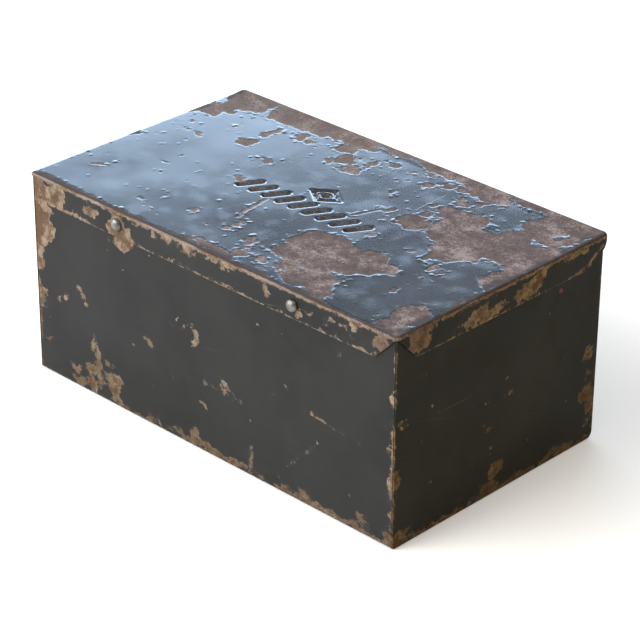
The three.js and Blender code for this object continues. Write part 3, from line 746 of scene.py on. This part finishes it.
def bare_metal(s, edge, tan, tans):
    """The colour of the metal where the paint is gone: brown rust, or tan where the value tan is 1."""
    tan_dark, tan_mid, tan_pale, tan_rust = tans
    patch, grain, blot = s.noise(*PATCH), s.noise(*GRAIN), s.noise(*BLOT)
    rust = s.mix(s.step(-0.7, 0.2, s.sum((patch, 0.9), (blot, 0.4), (grain, 0.6))), RUST_DARK, RUST_MID)
    rust = s.mix(s.step(-0.05, 0.75, s.sum((blot, 0.8), (patch, 0.4), (grain, 0.9))), rust, RUST_PALE)
    orange = s.step(0.1, 0.9, s.sum((patch, -0.7), (grain, 0.5)))
    rust = s.mix(s.math("MULTIPLY", orange, 0.6), rust, RUST_ORANGE)

    # bare places low down on the box are darker than those near its lid
    pale = s.sum((blot, 0.6), (grain, 0.6), (s.step(20, 100, s.height()), 0.7), (1.0, -0.3))
    chip = s.mix(s.step(-0.6, 0.6, pale), tan_mid, tan_pale)
    core = s.step(-0.4, 1.0, s.sum((edge, 0.15), (patch, 1.3), (blot, 0.4)))
    chip = s.mix(s.math("MULTIPLY", core, 0.85), chip, s.mix(s.step(-0.7, 0.7, grain), tan_dark, tan_rust))
    return s.mix(tan, rust, chip)


def red_speck(s, colour):
    """The colour with a small speck of red paint over it."""
    away = s.add("VectorMath", {0: s.where, 1: RED_DOT}, operation="DISTANCE").outputs["Value"]
    inside = s.step(2.3, 1.2, s.sum((away, 1.0), (s.noise(2, 2), 0.4)))
    return s.mix(inside, colour, RED)


def worn_paint(name, fresh, faded, shine, dull, depth=None, gloss=0.5, crumble=1.0, warmth=0.0, speck=False):
    """Old enamel over rusting steel.

    fresh and faded are the paint's colours, shine and dull its roughness. depth makes a value for how far
    inside a bare place a point lies, which otherwise comes with the mesh. crumble breaks up the edges of
    bare places, and warmth makes the tan ones darker and more yellow, partly dirt and partly painted shade.
    """
    s = Shader(name)
    tans = [
        (r * (1 - 0.15 * warmth), g * (1 - 0.27 * warmth), b * (1 - 0.55 * warmth))
        for r, g, b in (TAN_DARK, TAN_MID, TAN_PALE, TAN_RUST)
    ]
    from_mesh = depth is None
    inside = s.attribute("rust") if from_mesh else depth(s)
    tan = s.attribute("tan") if from_mesh else 0.6
    edge = s.sum((inside, 1.0), (s.noise(3.2, 5, 0.65), 0.9 * crumble), (s.noise(1.1, 3), 0.25 * crumble))
    bare = s.step(-0.15, 0.15, edge)
    paint, smudge, scratch = enamel(s, fresh, faded, edge, tans)
    metal = bare_metal(s, edge, tan, tans)
    dry = DRY_RUST
    if from_mesh:
        # bare metal is darker along the roof's edges and carries painted shade in the pressed pattern
        metal = s.mix(s.math("MULTIPLY", s.attribute("dark_edges_and_shade"), 0.92), metal, EDGE_DARK_AND_SHADE)
        # the front bend: worn metal and a painted highlight, mixed in as a pale colour
        rubbed_and_highlight = s.math("MULTIPLY", s.attribute("rubbed_and_highlight"), s.step(-0.7, 0.5, s.noise(*BLOT)))
        metal = s.mix(s.math("MULTIPLY", rubbed_and_highlight, 0.8), metal, RUBBED_AND_HIGHLIGHT)
        dry = s.blend(rubbed_and_highlight, DRY_RUST, SMOOTH_METAL)
    colour = s.mix(bare, paint, metal)
    if speck:
        colour = red_speck(s, colour)

    polish = s.blend(s.math("MAXIMUM", smudge, scratch), shine, dull)
    roughness = s.blend(bare, polish, dry)
    grit = s.math("MULTIPLY", bare, s.noise(*GRAIN))
    film = s.sum((bare, -0.10), (grit, 0.07), (s.noise(3.0, 2), 0.0004), (scratch, -0.01))
    return s.finish(colour, roughness, film, Specular_IOR_Level=gloss)


def bare_steel(name, base, tint, roughness, rusty):
    """Steel or zinc that is turning dull, with brown in its low places."""
    s = Shader(name)
    patch = s.noise(3.2, 5, 0.65)
    grain = s.noise(0.7, 4, 0.6)
    brown = s.step(rusty, rusty + 0.8, s.sum((patch, 0.8), (grain, 0.35)))
    metal = s.mix(s.step(-0.8, 0.8, s.noise(5, 3)), base, tint)
    rust = s.mix(s.step(-0.5, 0.7, grain), RUST_DARK, RUST_MID)
    colour = s.mix(brown, metal, rust)
    rough = s.blend(brown, s.blend(s.step(-0.8, 0.8, grain), roughness, roughness + 0.16), 0.8)
    height = s.sum((grain, 0.010), (brown, 0.02), (patch, 0.012))
    return s.finish(colour, rough, height, Metallic=s.blend(brown, 0.95, 0.1))


def tray_wear(s):
    """Bare places on the tray: along its rim and foot, patches on its floor, and specks all over."""
    rim = s.sum((s.height(), 1.0), (s.noise(11, 4, 0.6), 2.6), (1.0, -TRAY_HIGH[2] - 0.4))
    foot = s.sum((s.height(), -1.0), (s.noise(14, 4, 0.6), 2.4), (1.0, TRAY_LOW[2] - 0.6))
    specks = s.sum((s.noise(8, 4, 0.6), 3.0), (1.0, -2.7))
    patches = s.sum((s.noise(30, 5, 0.65), 6.0), (1.0, -4.6))
    return s.math("MAXIMUM", s.math("MAXIMUM", rim, foot), s.math("MAXIMUM", specks, patches))


def ledge_wear(s):
    """Bare places all over the tray's ledges."""
    return s.sum((s.noise(9, 4, 0.6), 3.0), (1.0, -1.9))


# Paints, fresh and faded
CHARCOAL = ((0.0110, 0.0114, 0.0112), (0.0165, 0.0170, 0.0163))
# the ends' paint, darker and warmer than the box's: partly dirt, partly painted shade
OLIVE_BLACK_DIRT_AND_SHADE = ((0.0098, 0.0078, 0.0034), (0.0160, 0.0130, 0.0062))
BLUE_BLACK = ((0.014, 0.018, 0.026), (0.025, 0.031, 0.042))
GREEN_GREY = ((0.018, 0.022, 0.020), (0.030, 0.034, 0.031))
LEDGE_GREY = ((0.020, 0.022, 0.020), (0.032, 0.034, 0.031))
# Steels, bare and with a tint
BROWN_STEEL = ((0.10, 0.09, 0.08), (0.17, 0.155, 0.14))
DULL_STEEL = ((0.11, 0.105, 0.10), (0.22, 0.215, 0.21))
OUTSIDE = {"shine": 0.45, "dull": 0.6, "crumble": 1.9}

box_paint = worn_paint("box_enamel", *CHARCOAL, gloss=0.14, **OUTSIDE)
# the box's ends, in a darker and warmer copy of its paint: partly dirt, partly painted shade
end_paint_dirt_and_shade = worn_paint("end_enamel_dirt_and_shade", *OLIVE_BLACK_DIRT_AND_SHADE, gloss=0.08, warmth=1.0, speck=True, **OUTSIDE)
lid_paint = worn_paint("lid_enamel", *BLUE_BLACK, shine=0.16, dull=0.24)
tray_paint = worn_paint("tray_enamel", *GREEN_GREY, shine=0.34, dull=0.5, depth=tray_wear)
ledge_paint = worn_paint("ledge_enamel", *LEDGE_GREY, shine=0.4, dull=0.55, depth=ledge_wear)
hinge_steel = bare_steel("hinge_steel", *BROWN_STEEL, roughness=0.45, rusty=-0.25)
bright_steel = bare_steel("bright_steel", *DULL_STEEL, roughness=0.28, rusty=0.35)


# ---- The object ----

add_piece("lid_sheet", lid_mesh(), "lid", "lid_paint", "lid_shell")
body_piece("body_sheet", "body_wrap", box_paint)
body_piece("left_end_sheet", "left_end_panel", end_paint_dirt_and_shade)
body_piece("right_end_sheet", "right_end_panel", end_paint_dirt_and_shade)

KEPT = {
    "box_paint": ledge_paint,
    "tray_paint": tray_paint,
    "hinge_steel": hinge_steel,
    "bare_steel": bright_steel,
}
for row in frame["record"]["subparts"]:
    kept = nodes[row["node"]]
    if kept.hide_render:
        continue
    kept.data.materials.clear()
    kept.data.materials.append(KEPT[row["material_slot"]])
    bevel = kept.modifiers.new("broken edges", "BEVEL")
    bevel.width = SMALL_EDGE * MM
    bevel.segments = 1
    bevel.limit_method = "ANGLE"
    bevel.angle_limit = BEVEL_FROM


# ---- Floor, light and camera: in metres and watts, but for the place of the camera ----

FLOOR_REACH = 6.0
FLOOR_GAP = 0.0004
FLOOR_COLOUR = (0.88, 0.865, 0.84)
LIGHTS_AIM = (0, 0, 0.07)
SKY_COLOUR = (1.0, 0.93, 0.84, 1.0)
SKY_STRENGTH = 0.3

# The photograph's camera, fitted to the corners of the lid and the base, and its lens to the outline
CAMERA_LENS = 145.1
CAMERA_PLACE = (967.56, -996.23, 794.37)  # in millimetres
CAMERA_BACK = (0.61272, -0.63592, 0.46923)
CAMERA_UP = (-0.33126, 0.33240, 0.88305)


def plain_material(name, colour, roughness):
    made = bpy.data.materials.new(name)
    made.use_nodes = True
    shader = made.node_tree.nodes["Principled BSDF"]
    shader.inputs["Base Color"].default_value = (*colour, 1.0)
    shader.inputs["Roughness"].default_value = roughness
    return made


def make_floor():
    mesh = bpy.data.meshes.new("floor")
    reach = FLOOR_REACH
    corners = [(-reach, -reach, 0), (reach, -reach, 0), (reach, reach, 0), (-reach, reach, 0)]
    mesh.from_pydata(corners, [], [(0, 1, 2, 3)])
    mesh.materials.append(plain_material("pale_floor", FLOOR_COLOUR, roughness=0.9))
    floor = bpy.data.objects.new("floor", mesh)
    floor.location.z = -FLOOR_GAP
    bpy.context.scene.collection.objects.link(floor)


def soft_light(name, azimuth, elevation, distance, width, height, power, colour):
    """A rectangular light that looks at the box. Azimuth 0 is +X and 90 is +Y, in degrees."""
    data = bpy.data.lights.new(name, "AREA")
    data.shape = "RECTANGLE"
    data.size, data.size_y = width, height
    data.energy = power
    data.color = colour
    light = bpy.data.objects.new(name, data)
    a, e = math.radians(azimuth), math.radians(elevation)
    away = Vector((math.cos(a) * math.cos(e), math.sin(a) * math.cos(e), math.sin(e)))
    light.location = Vector(LIGHTS_AIM) + away * distance
    light.rotation_mode = "QUATERNION"
    light.rotation_quaternion = away.to_track_quat("Z", "Y")
    bpy.context.scene.collection.objects.link(light)


def make_camera():
    """The camera of the photograph: from the front right, a little above, through a long lens."""
    data = bpy.data.cameras.new("camera")
    data.lens = CAMERA_LENS
    data.clip_end = 50.0
    camera = bpy.data.objects.new("camera", data)
    back, up = Vector(CAMERA_BACK), Vector(CAMERA_UP)
    right = up.cross(back)
    turn = Matrix((right, up, back)).transposed()
    camera.matrix_world = Matrix.Translation(Vector(CAMERA_PLACE) * MM) @ turn.to_4x4()
    bpy.context.scene.collection.objects.link(camera)
    bpy.context.scene.camera = camera


def make_world():
    world = bpy.data.worlds.new("studio")
    world.use_nodes = True
    background = world.node_tree.nodes["Background"]
    background.inputs["Color"].default_value = SKY_COLOUR
    background.inputs["Strength"].default_value = SKY_STRENGTH
    bpy.context.scene.world = world
    bpy.context.scene.view_settings.view_transform = "Standard"


make_floor()
make_world()
make_camera()
soft_light("window", azimuth=140, elevation=14, distance=3.0, width=3.0, height=1.1, power=84,
           colour=(0.53, 0.74, 1.0))
soft_light("key", azimuth=-125, elevation=30, distance=3.0, width=3.4, height=2.2, power=204,
           colour=(0.97, 0.98, 1.0))
soft_light("overhead", azimuth=20, elevation=70, distance=3.0, width=3.0, height=3.0, power=60,
           colour=(1.0, 0.98, 0.94))
